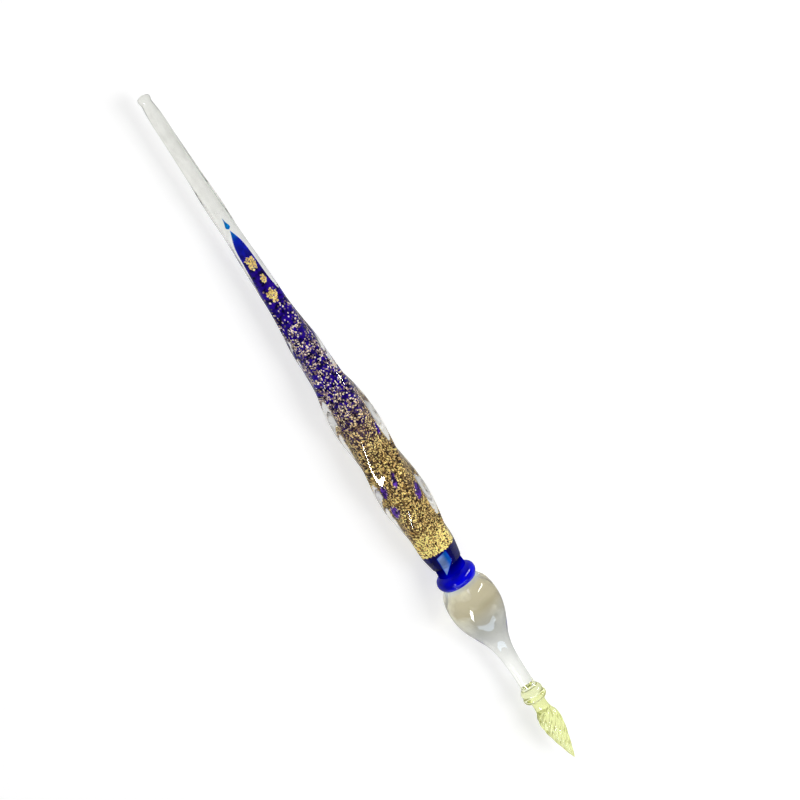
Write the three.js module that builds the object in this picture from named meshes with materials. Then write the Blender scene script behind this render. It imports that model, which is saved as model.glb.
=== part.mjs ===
// A lampworked glass dip pen: a cobalt and gold-leaf barrel in a twisted clear casing, a blue
// collar, a clear bulb drawn out to a neck, and a fluted lemon glass nib.
//
// The pen lies along X with its nib towards +X. Every piece is a body of revolution on the pen's
// axis, twisted or trimmed where the glass is. Lengths are millimetres. "u" is the distance along
// the axis from the tail end, and an outline is a list of [u, radius] pairs.

import * as THREE from 'three';

// ---- Driving dimensions ----

const PEN_LENGTH = 190;
const AXIS_HEIGHT = 6.4; // the bulb is the widest piece, and it touches the table

// Where one piece of glass meets the next, measured along the axis
const KNOB_END = 2.0;
const CASING_START = 31;
const CORE_END = 126;
const CASING_END = 130;
const CUP_END = 132.4;
const COLLAR_END = 135.9;
const NECK_END = 167.4;
const FLARE_END = 169.9;
const BEAD_END = 172;

// Radii at those joints
const KNOB_JOINT_RADIUS = 1.3;
const TAIL_JOINT_RADIUS = 2.1;
const CORE_END_RADIUS = 2.95;
const CASING_LIP_RADIUS = 3.8;
const WAIST_RADIUS = 3.45;
const CUP_JOINT_RADIUS = 3.6;
const COLLAR_JOINT_RADIUS = 4.3;
const BULB_RADIUS = AXIS_HEIGHT;
const NECK_RADIUS = 1.84;
const WELD_RADIUS = 2.62; // in the crease between the flare and the bead
const RING_RADIUS = 2.98;
const NIB_STEM_RADIUS = 1.8;

// The nested pieces: the sliver, the core, the leaf on it and the casing over them all
const POCKET_START = 32.4;
const SLIVER_END = 35.6;
const SLIVER_RADIUS = 0.3; // at its widest
const CORE_START = 35.8;
const LEAF_START = 57;
const LEAF_THICKNESS = 0.12;
const SEAM = 0.05; // gap that stands for a fused seam between nested pieces

// Loose patches of leaf near the core's point. Middle and width are radians round the core.
const LEAF_PATCHES = [
  { from: 43, to: 46.2, middle: 0, width: 1.6 },
  { from: 47.8, to: 50, middle: -0.3, width: 1.1 },
  { from: 51.5, to: 55, middle: -0.1, width: 1.4 },
];

// The twist
const SQUARENESS = 3.6; // power of the casing's section: 2 is round, and more is squarer
const RIB_CREST = 68; // where a rib crosses the pen's side
const SLOWEST_TWIST = 1.5; // degrees per mm
const FASTEST_TWIST = 4.2;
const TWIST_GROWS_FROM = 45;
const TWIST_GROWS_TO = 65;
const RIBS_RISE = [40, 75]; // the ribs grow out of a round section here
const RIBS_SINK = [118, CASING_END]; // and sink back into one here
const FLUTE_COUNT = 10;
const FLUTE_DEPTH = 0.16; // share of the radius
const FLUTE_TWIST = 11; // degrees per mm
const FLUTES_RISE = [173.5, 177];

// How finely the surfaces are faceted
const ROUND_SIDES = 24;
const SLIVER_SIDES = 12;
const NIB_SIDES = 4 * FLUTE_COUNT;
const PATCH_SIDES = [8, 3]; // round the core and along it
const BARREL_STEP = 4.4; // spacing of the rings along the axis
const TAIL_STEP = 4.2;
const BULB_STEP = 2.1;
const NIB_STEP = 1.5;
const CUP_STEP = 0.8;
const BEAD_STEP = 0.6;
const KNOB_STEP = 0.4;

// ---- Outlines ----

const KNOB_OUTLINE = [
  [0, 0], [0.15, 0.85], [0.6, 1.38], [1.1, 1.53], [1.6, 1.46], [KNOB_END, KNOB_JOINT_RADIUS],
];

const TAIL_OUTLINE = [
  [KNOB_END, KNOB_JOINT_RADIUS], [3.2, 1.36], [6, 1.67], [14, 1.76], [24, 1.96], [29, 2.12],
  [CASING_START, TAIL_JOINT_RADIUS],
];

// Along the crests of the ribs
const CASING_OUTLINE = [
  [CASING_START, TAIL_JOINT_RADIUS], [37, 2.05], [42, 2.25], [60, 3.0], [67.5, 3.6], [74, 3.9],
  [80, 5.0], [86, 5.4], [97, 5.5], [108, 5.75], [113, 5.8], [118, 5.5], [126, 4.65],
  [CASING_END, CASING_LIP_RADIUS],
];

const CORE_OUTLINE = [
  [CORE_START, 0], [36.6, 0.36], [39.3, 0.7], [43.8, 0.97], [48.3, 1.14], [54, 1.47], [60, 1.85],
  [69, 2.15], [79, 2.5], [88, 2.85], [100, 3.1], [114, 3.15], [CORE_END, CORE_END_RADIUS],
];

const SLIVER_OUTLINE = [
  [POCKET_START + SEAM, 0], [33.6, 0.1], [34.8, SLIVER_RADIUS], [35.3, 0.24], [SLIVER_END - SEAM, 0],
];

const CUP_OUTLINE = [
  [CORE_END, CORE_END_RADIUS], [127.2, 3.45], [128.6, 3.55], [CASING_END, WAIST_RADIUS],
  [CUP_END, CUP_JOINT_RADIUS],
];

const COLLAR_OUTLINE = [
  [CUP_END, CUP_JOINT_RADIUS], [132.8, 4.3], [133.5, 4.85], [134.3, 5.03], [135.1, 4.85],
  [COLLAR_END, COLLAR_JOINT_RADIUS],
];

const BULB_OUTLINE = [
  [COLLAR_END, COLLAR_JOINT_RADIUS], [136.8, 5.15], [138.3, 5.8], [140.2, 6.26],
  [142.5, BULB_RADIUS], [144.8, 6.25], [147.5, 5.55], [150.8, 4.15], [153.6, 2.95], [157, 2.18],
  [162, 1.87], [NECK_END, NECK_RADIUS],
];

const FLARE_OUTLINE = [
  [NECK_END, NECK_RADIUS], [168, 2.15], [168.6, 2.6], [169.2, 2.8], [FLARE_END, WELD_RADIUS],
];

const BEAD_OUTLINE = [
  [FLARE_END, WELD_RADIUS], [170.2, 2.88], [170.8, RING_RADIUS], [171.4, 2.75], [BEAD_END, 2.05],
];

const NIB_OUTLINE = [
  [BEAD_END, NIB_STEM_RADIUS], [173.8, 1.78], [175, 1.95], [176.4, 2.6], [178.4, 2.8],
  [180.4, 2.62], [184.2, 1.75], [187.6, 0.8], [189.6, 0.22], [PEN_LENGTH, 0],
];

// ---- Shape helpers ----

// Radius at u on a smooth curve through an outline's points.
function radiusAt(outline, u) {
  const last = outline.length - 2;
  const i = Math.min(Math.max(outline.findIndex(([end]) => end > u) - 1, 0), last);
  const j = u >= outline[last + 1][0] ? last : i;
  const slope = (from, to) => (outline[to][1] - outline[from][1]) / (outline[to][0] - outline[from][0]);
  const [startU, startRadius] = outline[j];
  const [endU, endRadius] = outline[j + 1];
  const span = endU - startU;
  const startSlope = slope(Math.max(j - 1, 0), j + 1);
  const endSlope = slope(j, Math.min(j + 2, last + 1));
  const t = Math.min(Math.max((u - startU) / span, 0), 1);
  const curve = (2 * t ** 3 - 3 * t ** 2 + 1) * startRadius + (3 * t ** 2 - 2 * t ** 3) * endRadius
    + (t ** 3 - 2 * t ** 2 + t) * span * startSlope + (t ** 3 - t ** 2) * span * endSlope;
  return Math.max(curve, 0);
}

// Points of a profile from u = from to u = to, standing a distance off an outline.
function sampled(outline, from, to, step, offset = 0) {
  const count = Math.max(Math.round((to - from) / step), 1);
  return Array.from({ length: count + 1 }, (_, i) => {
    const u = from + ((to - from) * i) / count;
    return new THREE.Vector2(radiusAt(outline, u) + offset, u);
  });
}

// A solid body of revolution from an outline: its ends are closed on the axis.
function turned(outline, step, sides = ROUND_SIDES) {
  const from = outline[0][0];
  const to = outline[outline.length - 1][0];
  const points = sampled(outline, from, to, step);
  const profile = points.map(({ x, y }) => new THREE.Vector2(Math.max(x, 0), y));
  if (profile[0].x > 0) profile.unshift(new THREE.Vector2(0, from));
  if (profile[profile.length - 1].x > 0) profile.push(new THREE.Vector2(0, to));
  return new THREE.LatheGeometry(profile, sides);
}

// How far round, in radians, the twist has carried a rib by the time it reaches u.
function ribAngle(u) {
  const growth = (FASTEST_TWIST - SLOWEST_TWIST) / (TWIST_GROWS_TO - TWIST_GROWS_FROM);
  const turnedBy = (at) => {
    const inGrowth = THREE.MathUtils.clamp(at, TWIST_GROWS_FROM, TWIST_GROWS_TO) - TWIST_GROWS_FROM;
    return SLOWEST_TWIST * (at - TWIST_GROWS_FROM) + (growth * inGrowth ** 2) / 2
      + (FASTEST_TWIST - SLOWEST_TWIST) * Math.max(at - TWIST_GROWS_TO, 0);
  };
  return THREE.MathUtils.degToRad(turnedBy(u) - turnedBy(RIB_CREST));
}

// Radius of a rounded square's outline beside its corner's, at an angle from that corner.
function squareShare(angle, power) {
  const from = angle + Math.PI / 4;
  const spread = Math.abs(Math.cos(from)) ** power + Math.abs(Math.sin(from)) ** power;
  return (spread / (2 * Math.SQRT1_2 ** power)) ** (-1 / power);
}

// Moves each point of a turned piece in or out by the share that shareAt(u, angle, radius) gives.
function carve(geometry, shareAt) {
  const points = geometry.attributes.position;
  for (let i = 0; i < points.count; i += 1) {
    const [x, u, z] = [points.getX(i), points.getY(i), points.getZ(i)];
    const share = shareAt(u, Math.atan2(x, z), Math.hypot(x, z));
    points.setXYZ(i, x * share, u, z * share);
  }
  return geometry;
}

// ---- The pieces ----

function makeEndKnob() {
  return turned(KNOB_OUTLINE, KNOB_STEP);
}

function makeTailRod() {
  return turned(TAIL_OUTLINE, TAIL_STEP);
}

// How far the section has gone from round, at 0, to fully ribbed, at 1.
function ribShare(u) {
  return THREE.MathUtils.smoothstep(u, ...RIBS_RISE) * (1 - THREE.MathUtils.smoothstep(u, ...RIBS_SINK));
}

// The outside carries the ribs. The pocket is open towards the nib.
function makeBarrelCasing() {
  const outside = sampled(CASING_OUTLINE, CASING_START, CASING_END, BARREL_STEP);
  const sliverPocket = [
    new THREE.Vector2(0, POCKET_START),
    new THREE.Vector2(SLIVER_RADIUS + SEAM, POCKET_START),
    new THREE.Vector2(SLIVER_RADIUS + SEAM, CORE_START),
  ];
  const leafRoom = LEAF_THICKNESS + 2 * SEAM;
  const corePocket = sampled(CORE_OUTLINE, CORE_START, CORE_END, BARREL_STEP, leafRoom);
  const cupPocket = sampled(CUP_OUTLINE, CORE_END, CASING_END, CUP_STEP, SEAM);
  const pocket = [...sliverPocket, ...corePocket, ...cupPocket];
  const profile = [new THREE.Vector2(0, CASING_START), ...outside, ...pocket.reverse()];
  const geometry = new THREE.LatheGeometry(profile, ROUND_SIDES);
  return carve(geometry, (u, angle, radius) => {
    const isOutside = radius > radiusAt(CASING_OUTLINE, u) - SEAM;
    const power = THREE.MathUtils.lerp(2, SQUARENESS, ribShare(u));
    return isOutside ? squareShare(angle - ribAngle(u), power) : 1;
  });
}

function makeCobaltCore() {
  return turned(CORE_OUTLINE, BARREL_STEP);
}

function makeAzureSliver() {
  return turned(SLIVER_OUTLINE, KNOB_STEP, SLIVER_SIDES);
}

// The leaf is a sleeve on the core, open at both ends.
function makeGoldLeaf() {
  const inner = sampled(CORE_OUTLINE, LEAF_START, CORE_END, BARREL_STEP, SEAM);
  const outer = inner.map(({ x, y }) => new THREE.Vector2(x + LEAF_THICKNESS, y));
  return new THREE.LatheGeometry([...outer, ...inner.reverse(), outer[0].clone()], ROUND_SIDES);
}

// A patch of leaf bent round the core.
function makeLeafPatch({ from, to, middle, width }) {
  const patch = new THREE.BoxGeometry(width, to - from, LEAF_THICKNESS, ...PATCH_SIDES, 1);
  const points = patch.attributes.position;
  for (let i = 0; i < points.count; i += 1) {
    const u = (from + to) / 2 + points.getY(i);
    const radius = radiusAt(CORE_OUTLINE, u) + SEAM + LEAF_THICKNESS / 2 + points.getZ(i);
    const around = middle + points.getX(i);
    points.setXYZ(i, radius * Math.sin(around), u, radius * Math.cos(around));
  }
  return patch;
}

function makeBlueCup() {
  return turned(CUP_OUTLINE, CUP_STEP);
}

function makeBlueCollar() {
  return turned(COLLAR_OUTLINE, BEAD_STEP);
}

function makeBulbNeck() {
  return turned(BULB_OUTLINE, BULB_STEP);
}

function makeNeckFlare() {
  return turned(FLARE_OUTLINE, BEAD_STEP);
}

function makeNibBead() {
  return turned(BEAD_OUTLINE, BEAD_STEP);
}

// Twisted flutes run from the stem to the point.
function makeNib() {
  const twist = THREE.MathUtils.degToRad(FLUTE_TWIST);
  return carve(turned(NIB_OUTLINE, NIB_STEP, NIB_SIDES), (u, angle) => {
    const fade = THREE.MathUtils.smoothstep(u, ...FLUTES_RISE);
    const crests = Math.abs(Math.cos((FLUTE_COUNT / 2) * (angle - twist * u)));
    return 1 - FLUTE_DEPTH * fade * (1 - crests);
  });
}

// ---- Glass and leaf ----

function glass(color) {
  return new THREE.MeshStandardMaterial({ color, roughness: 0.05, transparent: true, opacity: 0.4 });
}

const clearGlass = glass('#e6e7e1');
const smokyGlass = glass('#d9d2b8');
const cobaltGlass = glass('#0a14a0');
const azureGlass = glass('#1478d2');
const lemonGlass = glass('#eef79a');
const leaf = new THREE.MeshStandardMaterial({ color: '#c9a13b', roughness: 0.35, metalness: 1 });

// ---- Assembly ----

const PIECES = [
  ['end_knob', makeEndKnob(), clearGlass],
  ['tail_rod', makeTailRod(), clearGlass],
  ['barrel_casing', makeBarrelCasing(), clearGlass],
  ['cobalt_core', makeCobaltCore(), cobaltGlass],
  ['azure_sliver', makeAzureSliver(), azureGlass],
  ...LEAF_PATCHES.map((patch, i) => [`leaf_patch_${i + 1}`, makeLeafPatch(patch), leaf]),
  ['gold_leaf', makeGoldLeaf(), leaf],
  ['blue_cup', makeBlueCup(), cobaltGlass],
  ['blue_collar', makeBlueCollar(), cobaltGlass],
  ['bulb_neck', makeBulbNeck(), smokyGlass],
  ['neck_flare', makeNeckFlare(), clearGlass],
  ['nib_bead', makeNibBead(), lemonGlass],
  ['nib', makeNib(), lemonGlass],
];

// The turned pieces stand on Y. This lays them along X, centred, with the bulb on the table.
const pen = new THREE.Group();
pen.rotation.z = -Math.PI / 2;
pen.position.set(-PEN_LENGTH / 2, 0, AXIS_HEIGHT);
for (const [name, geometry, material] of PIECES) {
  const mesh = new THREE.Mesh(geometry, material);
  mesh.name = name;
  pen.add(mesh);
}

const model = new THREE.Group();
model.add(pen);

export default model;
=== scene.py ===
"""A lampworked glass dip pen: its glass, gold leaf, light and camera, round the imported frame.

The pen lies along X with its nib towards +X. "u" is the distance along its axis from the tail end,
in millimetres, and "angle" is how far round the axis a point lies, in radians from straight up,
towards -Y. Meshes are built in metres.
"""

import math

import bpy
import numpy as np
from mathutils import Matrix, Vector, noise


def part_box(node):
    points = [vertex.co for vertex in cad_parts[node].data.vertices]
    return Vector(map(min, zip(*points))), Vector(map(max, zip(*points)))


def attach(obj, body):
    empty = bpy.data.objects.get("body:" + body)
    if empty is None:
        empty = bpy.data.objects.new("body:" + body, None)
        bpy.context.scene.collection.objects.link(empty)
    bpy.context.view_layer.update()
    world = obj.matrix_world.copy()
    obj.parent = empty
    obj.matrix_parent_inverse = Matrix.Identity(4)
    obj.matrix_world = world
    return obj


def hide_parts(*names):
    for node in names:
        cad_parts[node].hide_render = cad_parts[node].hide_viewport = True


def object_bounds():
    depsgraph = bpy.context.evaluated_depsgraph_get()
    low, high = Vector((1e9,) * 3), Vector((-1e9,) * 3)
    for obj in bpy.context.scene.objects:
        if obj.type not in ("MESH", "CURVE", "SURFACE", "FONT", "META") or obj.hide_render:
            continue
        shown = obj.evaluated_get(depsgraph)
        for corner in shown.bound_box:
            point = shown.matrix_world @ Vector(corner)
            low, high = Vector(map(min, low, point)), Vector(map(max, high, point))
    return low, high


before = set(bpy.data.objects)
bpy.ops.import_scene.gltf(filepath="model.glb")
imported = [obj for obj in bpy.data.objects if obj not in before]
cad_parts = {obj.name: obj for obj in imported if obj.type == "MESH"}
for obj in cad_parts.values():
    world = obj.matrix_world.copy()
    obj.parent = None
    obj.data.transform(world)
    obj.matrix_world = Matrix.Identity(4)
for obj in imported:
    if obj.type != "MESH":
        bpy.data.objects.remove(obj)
CAD_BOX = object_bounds()

# ---- Driving values: lengths in mm and angles in degrees, unless a comment says otherwise ----

MM = 0.001
TAIL_X = CAD_BOX[0].x
AXIS_Z = (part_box("bulb_neck")[0].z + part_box("bulb_neck")[1].z) / 2


def ends_of(node):
    """Where a CAD node starts and ends along the pen, as u."""
    low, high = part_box(node)
    return (low.x - TAIL_X) / MM, (high.x - TAIL_X) / MM


CASING_START, CASING_END = ends_of("barrel_casing")
CORE_START, CORE_END = ends_of("cobalt_core")
CORE_END_RADIUS = (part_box("cobalt_core")[1].z - AXIS_Z) / MM
LEAF_START, LEAF_END = ends_of("gold_leaf")
BULB_START, BULB_END = ends_of("bulb_neck")
NIB_START = ends_of("nib")[0]

# The rod and the casing are rounded squares in section. Squareness 2 would be a circle.
ROD_SQUARENESS, RIB_SQUARENESS = 2.35, 3.6
ROD_SQUARES = (4.0, 12.0)  # u over which the round tail end turns into the drawn rod
RIBS_GROW = (40.0, 75.0)
RIBS_FADE_FROM = 118.0  # to the casing's end

# The casing's twist, per mm of length
SLOWEST_TWIST, FASTEST_TWIST = 1.5, 4.2
TWIST_GROWS = (45.0, 65.0)
RIB_CREST = 68.0  # u where a rib is on top

FLUTES = 10
FLUTE_DEPTH = 0.16  # share of the nib's radius
FLUTE_TWIST = 11.0  # per mm
FLUTES_DEEPEN = (1.5, 5.0)  # from the nib's tail end

ROUND_SIDES = 96
CASING_SIDES = 144
NIB_SIDES = 12 * FLUTES
POINT_RADIUS = 0.004  # keeps the faces at a point from folding to nothing
SHARP_EDGE = 50  # faces that meet more sharply than this show an edge

THICK_FROM = 12.0  # from the core's point, where its blue is deep enough to look clouded

# From the leaf's start: where the specks begin, where they end, and where the crackle closes up
SPECKS_BEGIN = (-9.0, 9.0)
SPECKS_END = (30.0, 36.0)
LEAF_CLOSES = (20.0, 42.0)
FIRST_FLAKES, LAST_FLAKES = -8.0, -0.2  # from the leaf's start, and from its end

# Where the gold leaf is torn and the core shows: u, angle, length and width
BARE_SPOTS = [
    (93.0, -78, 3.2, 1.6),
    (105.0, -6, 4.2, 1.0),
    (106.5, 66, 3.8, 2.2),
    (110.6, -64, 3.6, 2.8),
    (112.4, 72, 3.4, 3.2),
]

# Painted light in the cup: a four-cornered patch of paler blue painted on its top, standing in for light
# coming through the glass. u and distance towards -Y of its corners
PAINTED_LIGHT_CORNERS = [(126.1, -1.2), (129.0, -1.3), (131.9, 1.7), (126.9, 1.5)]
# Painted light: across these distances towards -Y the painted patch grows paler
PAINTED_LIGHT_PALES = (-0.9, 0.7)  # distance towards -Y
CUP_BRIGHTENS = (129.9, 133.4)  # u

FLAKE_LONG, FLAKE_WIDE = 0.38, 0.27  # between flakes, along the pen and round it
FLAKE_STRAYS = 0.4  # share of that spacing
FLAKE_REACH = 0.6  # from its middle to a corner, as a share of that spacing
FLAKE_UNEVEN = (0.7, 1.2)  # one corner's reach beside another's
FLAKE_TURN = 1.3  # radians, about one corner's share of a turn
FLAKE_TILT = 0.2  # slope
FLAKE_THICKNESS = 0.02
FLAKE_LIFT = 0.03  # of a flake's lowest corner over the core
FLAKE_CORNERS = 5
FEWEST_ROUND = 6  # flakes round the core's thinnest part

# The sleeve of leaf. A flake's size is beside FLAKE_REACH. Its tone runs from 0, brown, to 1, yellow.
SPECK_CHANCE = (0.22, 0.32)  # of a flake in the thinnest patches, and how much more in the thickest
CRACKLE_CHANCE = 0.95
PATCH_SIZE = 1.9
# Painted light: towards the leaf's end its flakes are painted brighter, as if lit through the cup; they
# are also a little larger there
RIM = (-9.0, -1.0)  # from the leaf's end, where it is brightest
SLEEVE_SIZES = (0.75, 1.1)
BRIGHT_TONE, DULL_TONE = (0.74, 0.14), (0.12, 0.1)  # middle and spread

# The loose patches of leaf
LOOSE_EDGE = (0.5, 1.3)  # how raggedly a patch ends, beside its radius
LOOSE_SIZE = 1.2
LOOSE_TONES = (0.5, 1.0)

rng = np.random.default_rng(19)


# ---- Shape helpers ----


def smoothstep(value, low, high):
    """From 0 at low to 1 at high, easing out of the one and into the other."""
    t = np.clip((value - low) / (high - low), 0.0, 1.0)
    return t * t * (3 - 2 * t)


def half_turn_each_way(angle):
    """The same angle, from -pi to pi."""
    return (angle + math.pi) % (2 * math.pi) - math.pi


def outline_of(node):
    """The outside of a turned CAD node: u and radius, at each ring of its mesh."""
    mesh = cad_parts[node].data
    rings = {}
    for face in mesh.polygons:
        outwards = Vector((0, face.center.y, face.center.z - AXIS_Z)).normalized()
        if face.normal.dot(outwards) < 0.3:
            continue  # an end face, or one in the casing's bore
        for corner in face.vertices:
            point = mesh.vertices[corner].co
            u = round((point.x - TAIL_X) / MM, 2)
            radius = math.hypot(point.y, point.z - AXIS_Z) / MM
            rings[u] = max(rings.get(u, 0.0), radius)
    u = np.array(sorted(rings))
    return u, np.array([rings[x] for x in u])


def smooth_radius(outline, u):
    """Radius at u on a smooth curve through an outline's points."""
    at, radius = outline
    slope = np.gradient(radius, at)
    i = np.clip(np.searchsorted(at, u, side="right") - 1, 0, len(at) - 2)
    span = at[i + 1] - at[i]
    t = np.clip((u - at[i]) / span, 0.0, 1.0)
    start = (2 * t**3 - 3 * t**2 + 1) * radius[i] + (t**3 - 2 * t**2 + t) * span * slope[i]
    end = (3 * t**2 - 2 * t**3) * radius[i + 1] + (t**3 - t**2) * span * slope[i + 1]
    return np.maximum(start + end, 0.0)


def square_share(angle, squareness):
    """A rounded square's radius at an angle from one of its corners, as a share of that corner's."""
    cosine, sine = np.abs(np.cos(angle + math.pi / 4)), np.abs(np.sin(angle + math.pi / 4))
    spread = cosine**squareness + sine**squareness
    return (spread / (2 * math.sqrt(0.5) ** squareness)) ** (-1 / squareness)


def rib_angle(u):
    """How far round the twist has carried, at u, the rib that is on top at RIB_CREST."""

    def turned_by(at):
        low, high = TWIST_GROWS
        faster = FASTEST_TWIST - SLOWEST_TWIST
        growing = np.clip(at, low, high) - low
        growth = faster / (high - low)
        beyond = np.maximum(at - high, 0.0)
        return SLOWEST_TWIST * (at - low) + growth * growing**2 / 2 + faster * beyond

    return np.radians(turned_by(u) - turned_by(RIB_CREST))


def place(u, angle, radius):
    """Points in metres from places on the pen. The three may be arrays."""
    u, angle, radius = np.broadcast_arrays(u, angle, radius)
    y = -radius * MM * np.sin(angle)
    z = AXIS_Z + radius * MM * np.cos(angle)
    return np.stack([TAIL_X + u * MM, y, z], axis=-1)


def pen_position(piece):
    """u, the distance across (towards -Y) and the height over the axis of each vertex, in mm."""
    points = np.array([vertex.co for vertex in piece.data.vertices])
    return (points[:, 0] - TAIL_X) / MM, -points[:, 1] / MM, (points[:, 2] - AXIS_Z) / MM


def paint(piece, name, values, domain="POINT"):
    """Puts one number on each vertex or face, for a material to read."""
    attribute = piece.data.attributes.new(name, "FLOAT", domain)
    attribute.data.foreach_set("value", np.asarray(values, dtype=np.float32))


def mesh_object(name, vertices, faces, slots=None):
    """A new object from a mesh in metres. slots says which of its materials each face uses."""
    mesh = bpy.data.meshes.new(name)
    mesh.from_pydata(vertices.tolist(), [], faces)
    if slots is not None:
        mesh.polygons.foreach_set("material_index", slots)
    mesh.update()
    piece = bpy.data.objects.new(name, mesh)
    bpy.context.scene.collection.objects.link(piece)
    return piece


def side_faces(rings, sides):
    """Four-cornered faces between the rings of a turned body."""
    faces = []
    for i in range(rings - 1):
        for j in range(sides):
            k = (j + 1) % sides
            faces.append((i * sides + j, i * sides + k, (i + 1) * sides + k, (i + 1) * sides + j))
    return faces


def end_faces(rings, sides):
    """Fans that close the two ends. Their middles are the two vertices after the rings."""
    tail, nose = rings * sides, rings * sides + 1
    last = (rings - 1) * sides
    faces = []
    for j in range(sides):
        k = (j + 1) % sides
        faces.append((tail, k, j))
        faces.append((nose, last + j, last + k))
    return faces


def turned(name, u, radius_at, sides=ROUND_SIDES):
    """A closed smooth body round the pen's axis, with radius_at(u, angle) in mm.

    Its side uses its first material and its two ends the second.
    """
    angle = np.arange(sides) * 2 * math.pi / sides
    grid_u, grid_angle = np.meshgrid(u, angle, indexing="ij")
    radius = np.maximum(radius_at(grid_u, grid_angle), POINT_RADIUS)
    vertices = place(grid_u, grid_angle, radius).reshape(-1, 3)
    middles = place(u[[0, -1]], 0.0, 0.0)
    side, ends = side_faces(len(u), sides), end_faces(len(u), sides)
    slots = [0] * len(side) + [1] * len(ends)
    piece = mesh_object(name, np.vstack([vertices, middles]), side + ends, slots)
    piece.data.polygons.foreach_set("use_smooth", [True] * len(slots))
    piece.data.set_sharp_from_angle(angle=math.radians(SHARP_EDGE))
    return piece


def stations(node, step):
    """Even u values from end to end of a CAD node, about "step" apart."""
    start, end = ends_of(node)
    return np.linspace(start, end, max(int(round((end - start) / step)), 4) + 1)


def finish_piece(piece, node, slot, *materials):
    """Gives a piece its materials, hangs it on the root body and hides the CAD node that it stands for."""
    for material in materials:
        piece.data.materials.append(material)
    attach(piece, "root")
    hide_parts(node)
    return piece


# ---- Materials ----

GLASS_SHADOW = (0.3, 0.3, 0.3)  # share of a lamp's light that passes each surface of glass
GLASS_ROUGHNESS = 0.03
RIPPLE_SCALE, RIPPLE_HEIGHT = 260.0, 0.4


def grey(value):
    return (value, value, value)


class Nodes:
    """A short way to write a node tree: each call makes a node and sets or links its inputs."""

    def __init__(self, tree):
        self.tree = tree
        tree.nodes.clear()

    def add(self, kind, inputs=None, **settings):
        node = self.tree.nodes.new(kind)
        for name, value in settings.items():
            setattr(node, name, value)
        for name, value in (inputs or {}).items():
            if isinstance(value, bpy.types.NodeSocket):
                self.tree.links.new(value, node.inputs[name])
            else:
                node.inputs[name].default_value = value
        return node

    def maths(self, operation, first, second):
        return self.add("ShaderNodeMath", {0: first, 1: second}, operation=operation).outputs[0]

    def ramp(self, factor, stops):
        stops = list(stops)
        node = self.add("ShaderNodeValToRGB", {"Fac": factor})
        while len(node.color_ramp.elements) < len(stops):
            node.color_ramp.elements.new(0.5)
        for element, (position, colour) in zip(node.color_ramp.elements, stops):
            element.position = position
            element.color = (*colour, 1)
        return node.outputs["Color"]

    def mix(self, factor, first, second, blend="MIX"):
        """Mixes two colours. They are inputs 6 and 7 of Blender's Mix node, and its output 2."""
        inputs = {0: factor, 6: first, 7: second}
        return self.add("ShaderNodeMix", inputs, data_type="RGBA", blend_type=blend).outputs[2]

    def painted(self, name):
        return self.add("ShaderNodeAttribute", attribute_name=name).outputs["Fac"]

    def position(self, axis):
        everywhere = self.add("ShaderNodeTexCoord").outputs["Object"]
        return self.add("ShaderNodeSeparateXYZ", {0: everywhere}).outputs[axis]

    def change(self, value, start, end):
        """From 0 where a value is "start" to 1 where it is "end"."""
        limits = {"Value": value, "From Min": start, "From Max": end}
        return self.add("ShaderNodeMapRange", limits).outputs["Result"]

    def along_pen(self, start, end):
        """From 0 at u = start to 1 at u = end."""
        return self.change(self.position("X"), TAIL_X + start * MM, TAIL_X + end * MM)

    def noise(self, scale, detail=2.0, stretch=1.0):
        """Noise whose patches are "stretch" times as long along the pen as across it."""
        position = self.add("ShaderNodeTexCoord").outputs["Object"]
        squeezed = self.add("ShaderNodeMapping", {"Vector": position, "Scale": (1 / stretch, 1, 1)})
        sizes = {"Vector": squeezed.outputs["Vector"], "Scale": scale, "Detail": detail}
        return self.add("ShaderNodeTexNoise", sizes).outputs["Fac"]

    def light_path(self, kind):
        return self.add("ShaderNodeLightPath").outputs[kind]

    def principled(self, inputs):
        return self.add("ShaderNodeBsdfPrincipled", inputs).outputs["BSDF"]

    def mix_shader(self, factor, first, second):
        return self.add("ShaderNodeMixShader", {0: factor, 1: first, 2: second}).outputs["Shader"]

    def finish(self, surface):
        self.add("ShaderNodeOutputMaterial", {"Surface": surface})


def new_material(name):
    material = bpy.data.materials.new(name)
    material.use_nodes = True
    return material, Nodes(material.node_tree)


def glass_surface(nodes, colour, ripple=0.0, stretch=1.0):
    """Glass that bends what is behind it, and lets lamps light what is inside or under it."""
    inputs = {
        "Base Color": colour,
        "Roughness": GLASS_ROUGHNESS,
        "IOR": 1.5,
        "Transmission Weight": 1.0,
    }
    if ripple:
        height = nodes.noise(RIPPLE_SCALE, detail=1.0, stretch=stretch)
        bump = {"Height": height, "Strength": ripple, "Distance": RIPPLE_HEIGHT * MM}
        inputs["Normal"] = nodes.add("ShaderNodeBump", bump).outputs["Normal"]
    glass = nodes.principled(inputs)
    clear = nodes.add("ShaderNodeBsdfTransparent", {"Color": (*GLASS_SHADOW, 1)}).outputs["BSDF"]
    return nodes.mix_shader(nodes.light_path("Is Shadow Ray"), glass, clear)


def make_clear_glass():
    """Drawn glass with fine streaks along it, a little greyer in the thin tail than in the barrel."""
    material, nodes = new_material("clear_glass")
    way = nodes.along_pen(CASING_START, LEAF_START)
    tint = nodes.ramp(way, [(0.0, (0.8, 0.805, 0.765)), (1.0, (0.97, 0.975, 0.96))])
    streaks = nodes.ramp(nodes.noise(700.0, stretch=2.5), [(0.35, (0.88, 0.88, 0.87)), (0.6, grey(1.0))])
    tint = nodes.mix(1.0, tint, streaks, "MULTIPLY")
    nodes.finish(glass_surface(nodes, tint, ripple=0.5, stretch=10.0))
    return material


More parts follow.
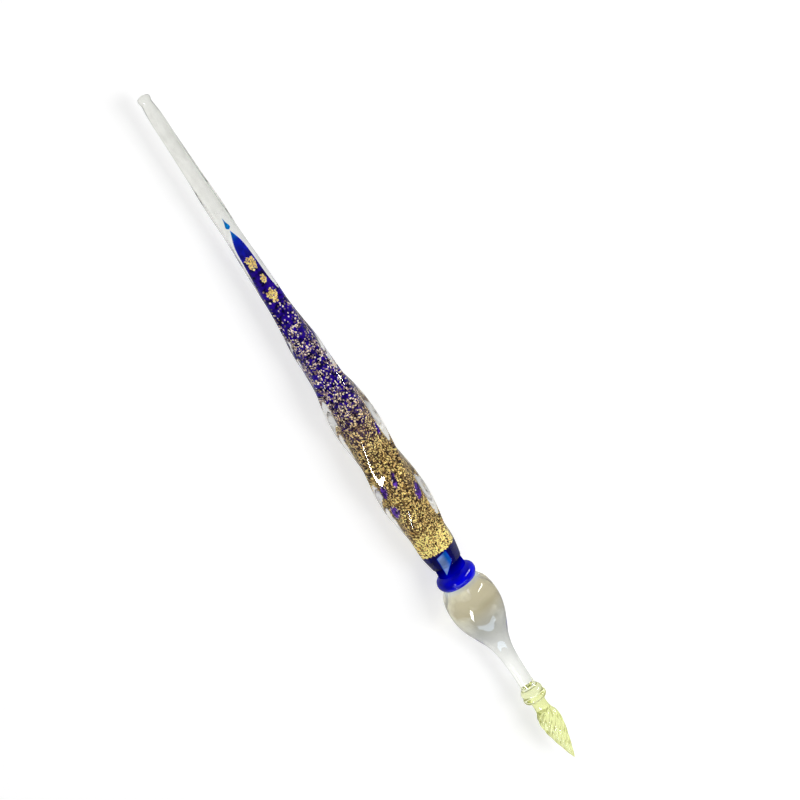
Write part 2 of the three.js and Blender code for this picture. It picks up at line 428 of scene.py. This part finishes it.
def make_smoky_glass():
    """Mottled tan by the collar, most of all on the upper +Y side, and clear by the neck; partly painted
    light, with the lower -Y side painted a paler cream.
    """
    material, nodes = new_material("smoky_glass")
    way = nodes.along_pen(BULB_START, BULB_END)
    stops = (0.0, 0.035, 0.2, 0.37, 0.8)
    # The first stop is a painted highlight: a pale blue arc where the bulb meets the collar, standing in
    # for the collar's blue reflected there
    painted_collar_highlight, neck = (0.6, 0.72, 0.9), (0.93, 0.94, 0.91)
    pale = [painted_collar_highlight, (0.84, 0.82, 0.68), (0.93, 0.9, 0.68), (0.68, 0.69, 0.64), neck]
    dark = [painted_collar_highlight, (0.52, 0.46, 0.31), (0.44, 0.37, 0.21), (0.39, 0.4, 0.37), neck]
    pale = nodes.ramp(way, zip(stops, pale))
    dark = nodes.ramp(way, zip(stops, dark))
    # Painted light: the bulb's lower -Y side is painted paler, a cream glow of gathered light, and its
    # upper +Y side darker
    side = nodes.maths("ADD", nodes.position("Y"), nodes.position("Z"))
    side = nodes.change(side, AXIS_Z - 4 * MM, AXIS_Z + 8 * MM)
    patches = nodes.maths("ADD", nodes.noise(185.0), nodes.maths("MULTIPLY", side, 0.4))
    haze_and_painted_light = nodes.ramp(patches, [(0.52, grey(0.0)), (0.76, grey(1.0))])
    nodes.finish(glass_surface(nodes, nodes.mix(haze_and_painted_light, pale, dark), ripple=0.1))
    return material


def make_cobalt_glass(name, body, shine):
    """Blue so deep that nothing is seen through it, with darker swirls round it."""
    material, nodes = new_material(name)
    # On the cup the painted "window" value also carries the painted light of its window
    colour = nodes.ramp(nodes.painted("window"), body)
    swirls = nodes.noise(350.0, detail=1.0, stretch=0.5)
    shade = nodes.ramp(swirls, [(0.35, grey(0.62)), (0.6, grey(1.0))])
    colour = nodes.mix(1.0, colour, shade, "MULTIPLY")
    inputs = {"Base Color": colour, "Roughness": 0.05, "Specular IOR Level": shine}
    nodes.finish(nodes.principled(inputs))
    return material


def make_flare_glass():
    """Clear, with some of the nib's lemon drawn into it."""
    material, nodes = new_material("flare_glass")
    nodes.finish(glass_surface(nodes, (0.82, 0.84, 0.65, 1)))
    return material


def make_lemon_glass():
    """Slightly milky, so that the flutes show as soft streaks."""
    material, nodes = new_material("lemon_glass")
    surface = glass_surface(nodes, (0.95, 0.99, 0.6, 1))
    milk = {"Base Color": (0.95, 0.98, 0.38, 1), "Roughness": 0.3, "Specular IOR Level": 0.0}
    nodes.finish(nodes.mix_shader(0.25, surface, nodes.principled(milk)))
    return material


def make_seam():
    """Where two pieces are fused there is no surface to see."""
    material, nodes = new_material("fused_seam")
    nodes.finish(nodes.add("ShaderNodeBsdfTransparent").outputs["BSDF"])
    return material


def make_core_glass():
    """Azure at its thin tip, then deeper blue, violet near the cup, and a painted shade of dark umber
    under unbroken leaf.
    """
    material, nodes = new_material("cobalt_core")
    azure, royal = (0.0, 0.3, 0.95), (0.0, 0.02, 0.75)
    deep, violet = (0.025, 0.0, 0.42), (0.22, 0.07, 0.85)
    umber = (0.045, 0.022, 0.014, 1)
    way = nodes.along_pen(CORE_START, CORE_END)
    blue = nodes.ramp(way, [(0.0, azure), (0.03, royal), (0.13, deep), (0.6, deep), (0.75, violet)])
    thickness = nodes.along_pen(CORE_START, CORE_START + THICK_FROM)
    cloud = nodes.ramp(nodes.noise(900.0), [(0.4, grey(0.12)), (0.58, grey(1.0))])
    blue = nodes.mix(thickness, blue, cloud, "MULTIPLY")
    # Painted shade: where the leaf is unbroken the core is painted a dark umber, as the leaf shades it
    colour = nodes.mix(nodes.painted("cover"), blue, umber)
    inputs = {"Base Color": colour, "Roughness": 0.6, "Specular IOR Level": 0.0}
    nodes.finish(nodes.principled(inputs))
    return material


def make_gold_leaf():
    """Each flake has its own tone, from brown to yellow, and is creamier over the blue. The yellowest
    flakes are given a faint painted light of their own.
    """
    material, nodes = new_material("gold_leaf")
    tone = nodes.painted("tone")
    cream_stops = [(0.0, (0.1, 0.05, 0.1)), (0.5, (0.72, 0.48, 0.41)), (1.0, (1.0, 0.88, 0.74))]
    gold_stops = [
        (0.0, (0.05, 0.02, 0.01)),
        (0.35, (0.5, 0.29, 0.07)),
        (0.65, (1.0, 0.7, 0.24)),
        (1.0, (1.0, 0.85, 0.3)),
    ]
    cream = nodes.ramp(tone, cream_stops)
    gold = nodes.ramp(tone, gold_stops)
    colour = nodes.mix(nodes.painted("full"), cream, gold)
    # Painted light: the yellowest flakes are given a faint emission, as if catching the light
    painted_glow = nodes.maths("MULTIPLY", nodes.change(tone, 0.75, 1.0), 0.25)
    inputs = {"Base Color": colour, "Metallic": 0.35, "Roughness": 0.5}
    inputs |= {"Emission Color": colour, "Emission Strength": painted_glow}
    nodes.finish(nodes.principled(inputs))
    return material


# ---- Glass pieces ----

# The stops above ROYAL, AZURE and PALE, are reached only in the painted light on the cup's top; NAVY and
# ROYAL are the cobalt's own blues
NAVY, ROYAL, AZURE, PALE = (0.0, 0.0, 0.16), (0.0, 0.0, 0.94), (0.0, 0.19, 0.92), (0.32, 0.49, 1.0)
CUP_BODY = [(0.0, NAVY), (0.42, ROYAL), (0.7, AZURE), (1.0, PALE)]
COLLAR_BODY = [(0.0, ROYAL), (1.0, ROYAL)]

clear_glass = make_clear_glass()
smoky_glass = make_smoky_glass()
cup_glass = make_cobalt_glass("cobalt_cup_glass", CUP_BODY, 0.0)
collar_glass = make_cobalt_glass("cobalt_collar_glass", COLLAR_BODY, 0.25)
flare_glass = make_flare_glass()
lemon_glass = make_lemon_glass()
core_glass = make_core_glass()
leaf_metal = make_gold_leaf()
seam = make_seam()


def make_round_piece(node, slot, material, step, end_material=seam):
    """A plain turned piece on a CAD node's own outline."""
    outline = outline_of(node)
    piece = turned(node + "_glass", stations(node, step), lambda u, angle: smooth_radius(outline, u))
    return finish_piece(piece, node, slot, material, end_material)


def make_tail_rod():
    """The drawn rod is not quite round, and follows the twist."""
    outline = outline_of("tail_rod")

    def radius_at(u, angle):
        squareness = 2 + (ROD_SQUARENESS - 2) * smoothstep(u, *ROD_SQUARES)
        return smooth_radius(outline, u) * square_share(angle - rib_angle(u), squareness)

    piece = turned("tail_rod_glass", stations("tail_rod", step=0.5), radius_at)
    finish_piece(piece, "tail_rod", "clear_glass", clear_glass, seam)


def make_barrel_casing():
    """The clear casing fills all the space round the core, so it has no inner surface to see."""
    outline = outline_of("barrel_casing")

    def radius_at(u, angle):
        ribs = smoothstep(u, *RIBS_GROW) * (1 - smoothstep(u, RIBS_FADE_FROM, CASING_END))
        squareness = ROD_SQUARENESS * (1 - ribs) + RIB_SQUARENESS * ribs
        return smooth_radius(outline, u) * square_share(angle - rib_angle(u), squareness)

    piece = turned("barrel_casing_glass", stations("barrel_casing", step=0.35), radius_at, CASING_SIDES)
    finish_piece(piece, "barrel_casing", "clear_glass", clear_glass, seam)


def make_nib():
    """Twisted flutes, sharp at the bottom, run to the writing point."""
    outline = outline_of("nib")
    shallow, deep = FLUTES_DEEPEN

    def radius_at(u, angle):
        depth = FLUTE_DEPTH * smoothstep(u, NIB_START + shallow, NIB_START + deep)
        lobes = np.abs(np.cos(FLUTES / 2 * (angle - math.radians(FLUTE_TWIST) * u)))
        return smooth_radius(outline, u) * (1 - depth * (1 - lobes))

    piece = turned("nib_glass", stations("nib", step=0.15), radius_at, NIB_SIDES)
    finish_piece(piece, "nib", "lemon_glass", lemon_glass, seam)


def past_leaf_start(u, low, high):
    """From 0 to 1 between two distances from the leaf's start."""
    return smoothstep(u, LEAF_START + low, LEAF_START + high)


def leaf_cover(u, angle):
    """How unbroken the gold leaf is, from 0 to 1."""
    cover = past_leaf_start(u, *LEAF_CLOSES)
    for spot_u, spot_angle, length, width in BARE_SPOTS:
        twist = rib_angle(u) - rib_angle(spot_u)
        off = half_turn_each_way(angle - math.radians(spot_angle) - twist)
        away = np.hypot((u - spot_u) / (length / 2), off * CORE_END_RADIUS / (width / 2))
        cover = cover * smoothstep(away, 0.6, 1.35)
    return cover


def make_core():
    """The core shows through the leaf wherever leaf_cover is low."""
    piece = make_round_piece("cobalt_core", "cobalt_glass", core_glass, step=0.25, end_material=core_glass)
    u, across, height = pen_position(piece)
    paint(piece, "cover", leaf_cover(u, np.arctan2(across, height)))


def make_cup():
    """A patch of painted light: a lighter, four-cornered window painted in the top of the cup, paler
    towards -Y, stands in for light coming through.

    What is painted is each vertex's place on CUP_BODY.
    """
    piece = make_round_piece("blue_cup", "cobalt_glass", cup_glass, step=0.12, end_material=cup_glass)
    u, across, height = pen_position(piece)
    inside = np.full(len(u), 1.0)
    for (u0, across0), (u1, across1) in zip(PAINTED_LIGHT_CORNERS, PAINTED_LIGHT_CORNERS[1:] + PAINTED_LIGHT_CORNERS[:1]):
        length = math.hypot(u1 - u0, across1 - across0)
        depth = ((u1 - u0) * (across - across0) - (across1 - across0) * (u - u0)) / length
        inside = inside * smoothstep(depth, -0.1, 0.15)
    # Painted light, only on the top of the cup: inside the window the blue is painted paler towards -Y
    painted_light_blue = 0.65 + 0.35 * smoothstep(across, *PAINTED_LIGHT_PALES)
    body_blue = 0.38 * smoothstep(u, *CUP_BRIGHTENS)
    in_painted_light = (inside > 0.01) & (height > 0)
    blue = np.where(in_painted_light, np.maximum(inside * painted_light_blue, body_blue), body_blue)
    paint(piece, "window", blue)


make_round_piece("end_knob", "clear_glass", clear_glass, step=0.08)
make_tail_rod()
make_barrel_casing()
make_core()
make_round_piece("azure_sliver", "azure_glass", core_glass, step=0.2, end_material=core_glass)
make_cup()
make_round_piece("blue_collar", "cobalt_glass", collar_glass, step=0.12, end_material=collar_glass)
make_round_piece("bulb_neck", "smoky_glass", smoky_glass, step=0.3)
make_round_piece("neck_flare", "clear_glass", flare_glass, step=0.12)
make_round_piece("nib_bead", "lemon_glass", lemon_glass, step=0.12)
make_nib()


# ---- Gold leaf ----

CORE = outline_of("cobalt_core")


def leaf_grid(start, end):
    """Staggered places all over the core between two u values, a little out of line."""
    places = []
    for row, u in enumerate(np.arange(start, end, FLAKE_LONG)):
        count = max(int(2 * math.pi * smooth_radius(CORE, u) / FLAKE_WIDE), FEWEST_ROUND)
        angle = (np.arange(count) + 0.5 * (row % 2)) * 2 * math.pi / count
        places.append(np.stack([np.full(count, u), angle + rib_angle(u)], axis=1))
    places = np.vstack(places)
    radius = smooth_radius(CORE, places[:, 0])
    places[:, 0] += rng.uniform(-FLAKE_STRAYS, FLAKE_STRAYS, len(places)) * FLAKE_LONG
    places[:, 1] += rng.uniform(-FLAKE_STRAYS, FLAKE_STRAYS, len(places)) * FLAKE_WIDE / radius
    return places


def flake_faces(count):
    """Faces of flat plates whose vertices come as the upper corners, then the lower ones."""
    faces = []
    for i in range(count):
        top = [i * 2 * FLAKE_CORNERS + k for k in range(FLAKE_CORNERS)]
        bottom = [k + FLAKE_CORNERS for k in top]
        faces.append(top[::-1])
        faces.append(bottom)
        for k in range(FLAKE_CORNERS):
            n = (k + 1) % FLAKE_CORNERS
            faces.append((top[k], top[n], bottom[n], bottom[k]))
    return faces


def flakes(name, places, size, tone, full):
    """One mesh of thin, tilted, uneven flakes lying on the core. size is 1 for an even crackle."""
    count = len(places)
    u, angle = places[:, :1], places[:, 1:]
    step = 2 * math.pi / FLAKE_CORNERS
    turn = np.arange(FLAKE_CORNERS) * step + rng.uniform(0, FLAKE_TURN, (count, 1))
    reach = rng.uniform(*FLAKE_UNEVEN, (count, FLAKE_CORNERS)) * size[:, None]
    along = reach * np.cos(turn) * FLAKE_LONG * FLAKE_REACH
    across = reach * np.sin(turn) * FLAKE_WIDE * FLAKE_REACH
    tilt = rng.normal(0, FLAKE_TILT, (count, 2))
    rise = along * tilt[:, :1] + across * tilt[:, 1:]
    rise += FLAKE_LIFT - rise.min(axis=1, keepdims=True)
    radius = smooth_radius(CORE, u)
    corner_u = u + along
    corner_angle = angle + across / radius
    upper = place(corner_u, corner_angle, radius + rise + FLAKE_THICKNESS)
    lower = place(corner_u, corner_angle, radius + rise)
    vertices = np.concatenate([upper, lower], axis=1).reshape(-1, 3)
    piece = mesh_object(name, vertices, flake_faces(count))
    faces_each = FLAKE_CORNERS + 2
    paint(piece, "tone", np.repeat(tone, faces_each), "FACE")
    paint(piece, "full", np.repeat(full, faces_each), "FACE")
    return piece


def patchiness(places):
    """Smooth noise from 0 to 1 over the core, in patches about PATCH_SIZE across."""
    radius = smooth_radius(CORE, places[:, 0])
    points = place(places[:, 0], places[:, 1], radius) / (PATCH_SIZE * MM)
    return np.array([0.5 + 0.5 * noise.noise(Vector(point)) for point in points])


def make_leaf_patch(node, half_width):
    """A loose patch of leaf near the core's point, "half_width" radians to each side."""
    low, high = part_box(node)
    start, end = ends_of(node)
    centre_angle = math.atan2(-(low.y + high.y) / 2, (low.z + high.z) / 2 - AXIS_Z)
    places = leaf_grid(start, end)
    off = half_turn_each_way(places[:, 1] - centre_angle)
    along = (places[:, 0] - (start + end) / 2) / ((end - start) / 2)
    kept = (off / half_width) ** 2 + along**2 < rng.uniform(*LOOSE_EDGE, len(places))
    places = places[kept]
    count = len(places)
    size = np.full(count, LOOSE_SIZE)
    tone = rng.uniform(*LOOSE_TONES, count)
    piece = flakes(node + "_flakes", places, size, tone, np.ones(count))
    finish_piece(piece, node, "gold_leaf", leaf_metal)


def make_gold_leaf_sleeve():
    """Specks on blue near the tail, and a full crackle of gold towards the cup."""
    places = leaf_grid(LEAF_START + FIRST_FLAKES, LEAF_END + LAST_FLAKES)
    u = places[:, 0]
    full = leaf_cover(u, places[:, 1])
    beyond = past_leaf_start(u, *SPECKS_END)
    patches = patchiness(places)
    thinnest, more = SPECK_CHANCE
    specks = past_leaf_start(u, *SPECKS_BEGIN) * (thinnest + more * smoothstep(patches, 0.35, 0.65))
    chance = specks * (1 - beyond) * (1 - full) + CRACKLE_CHANCE * full
    kept = rng.uniform(0, 1, len(places)) < chance
    places, full, patches = places[kept], full[kept], patches[kept]
    count = len(places)
    rim = smoothstep(places[:, 0], LEAF_END + RIM[0], LEAF_END + RIM[1])
    size = (1.12 + 0.12 * rim) * rng.uniform(*SLEEVE_SIZES, count)
    # Painted light: near the rim more flakes are bright and every tone is raised
    is_bright = rng.uniform(0, 1, count) < 0.48 + 0.25 * rim
    bright = rng.normal(*BRIGHT_TONE, count) + 0.15 * (1 - full)
    dull = rng.normal(*DULL_TONE, count)
    tone = np.where(is_bright, bright, dull) + 0.4 * rim + 0.25 * (patches - 0.5)
    piece = flakes("gold_leaf_flakes", places, size, np.clip(tone, 0.0, 1.0), full)
    finish_piece(piece, "gold_leaf", "gold_leaf", leaf_metal)


make_leaf_patch("leaf_patch_1", 0.9)
make_leaf_patch("leaf_patch_2", 0.55)
make_leaf_patch("leaf_patch_3", 0.7)
make_gold_leaf_sleeve()


# ---- Stage, light and camera: lengths in metres ----

CAMERA_DISTANCE = 0.6
CAMERA_LENS = 117.6  # mm, on a sensor 36 mm wide
AXIS_TILT = math.radians(17)  # the tail is nearer the camera
ROLL = math.radians(57.1)  # the pen runs down to the right
AIM_RIGHT, AIM_UP = 0.0073, 0.0096  # the picture's centre, from the pen's

FLOOR_REACH = 3.0
TABLE_WHITE, TABLE_GLOW = 0.6, 0.61
TABLE_REFLECTED = 0.35  # its brightness in the shine of things
SKY_LIGHT, SKY_REFLECTED, SKY_SEEN = 0.36, 0.12, 1.0  # on things, in their shine, and through glass
WINDOW_DISTANCE = 0.9
SHINE_BOUNCES = 12  # light runs round inside the thick clear casing


def make_floor():
    """A white table with a glow of its own, so that shadows on it stay light."""
    reach = FLOOR_REACH
    corners = np.array([(-reach, -reach, 0), (reach, -reach, 0), (reach, reach, 0), (-reach, reach, 0)])
    floor = mesh_object("floor", corners, [(0, 1, 2, 3)])
    material, nodes = new_material("floor_white")
    inputs = {"Base Color": (*grey(TABLE_WHITE), 1), "Roughness": 0.9, "Specular IOR Level": 0.0}
    inputs |= {"Emission Color": (*grey(1.0), 1), "Emission Strength": TABLE_GLOW}
    dim = nodes.add("ShaderNodeEmission", {"Strength": TABLE_REFLECTED}).outputs["Emission"]
    nodes.finish(nodes.mix_shader(nodes.light_path("Is Reflection Ray"), nodes.principled(inputs), dim))
    floor.data.materials.append(material)


def make_window(name, azimuth, elevation, width, height, brightness, colour=(1, 1, 1)):
    """A window that faces the pen. Its azimuth is in degrees from +X towards +Y."""
    turn, rise = math.radians(azimuth), math.radians(elevation)
    towards = Vector((math.cos(rise) * math.cos(turn), math.cos(rise) * math.sin(turn), math.sin(rise)))
    lamp = bpy.data.lights.new(name, "AREA")
    lamp.shape = "RECTANGLE"
    lamp.size, lamp.size_y = width, height
    lamp.energy = brightness * math.pi * width * height
    lamp.color = colour
    item = bpy.data.objects.new(name, lamp)
    item.location = WINDOW_DISTANCE * towards + Vector((0, 0, AXIS_Z))
    item.rotation_euler = towards.to_track_quat("Z", "Y").to_euler()
    bpy.context.scene.collection.objects.link(item)
    return item


def make_key_light():
    """The soft light that casts the shadows. The highlights below are seen in its place."""
    window = make_window("key_window", azimuth=75, elevation=52, width=0.45, height=0.45, brightness=6.6)
    window.visible_glossy = False
    window.visible_transmission = False


def make_highlight(name, **settings):
    """A window that is only seen in the shine of things."""
    window = make_window(name, **settings)
    window.visible_diffuse = False
    window.visible_transmission = False


def make_sky():
    """A white studio, greyer at the horizon and darker straight overhead."""
    world = bpy.data.worlds.new("studio")
    world.use_nodes = True
    nodes = Nodes(world.node_tree)
    direction = nodes.add("ShaderNodeTexCoord").outputs["Generated"]
    height = nodes.add("ShaderNodeSeparateXYZ", {0: direction}).outputs["Z"]
    stops = [(0.0, 0.75), (0.1, 0.88), (0.25, 1.0), (0.8, 1.0), (0.95, 0.5)]
    colour = nodes.ramp(height, [(z, grey(value)) for z, value in stops])
    strength = SKY_SEEN
    for kind, other in (("Is Reflection Ray", SKY_REFLECTED), ("Diffuse Depth", SKY_LIGHT)):
        choice = {"Value": nodes.light_path(kind), "To Min": strength, "To Max": other}
        strength = nodes.add("ShaderNodeMapRange", choice).outputs["Result"]
    background = nodes.add("ShaderNodeBackground", {"Color": colour, "Strength": strength})
    nodes.add("ShaderNodeOutputWorld", {"Surface": background.outputs[0]})
    bpy.context.scene.world = world


def make_camera():
    """Looks down at the pen from the photograph's side."""
    across = Vector((0, 1, 0))
    back = Vector((-math.sin(AXIS_TILT), 0, math.cos(AXIS_TILT)))
    along = across.cross(back)
    right = math.cos(ROLL) * along + math.sin(ROLL) * across
    up = math.cos(ROLL) * across - math.sin(ROLL) * along
    camera = bpy.data.cameras.new("camera")
    camera.lens = CAMERA_LENS
    camera.clip_start = 0.01
    item = bpy.data.objects.new("camera", camera)
    centre = Vector((0, 0, AXIS_Z)) + AIM_RIGHT * right + AIM_UP * up
    turn = Matrix((right, up, back)).transposed().to_4x4()
    item.matrix_world = Matrix.Translation(centre + CAMERA_DISTANCE * back) @ turn
    bpy.context.scene.collection.objects.link(item)
    bpy.context.scene.camera = item


make_floor()
make_sky()
make_key_light()
make_highlight("far_strip", azimuth=104, elevation=20, width=0.06, height=0.9, brightness=40.0)
make_highlight("near_window", azimuth=-52, elevation=48, width=0.1, height=0.32, brightness=40.0)
make_highlight(
    "blue_window", azimuth=0, elevation=29, width=1.1, height=0.2, brightness=5.0, colour=(0.66, 0.81, 1.0)
)
make_camera()
bpy.context.scene.view_settings.view_transform = "Standard"
bpy.context.scene.cycles.glossy_bounces = SHINE_BOUNCES
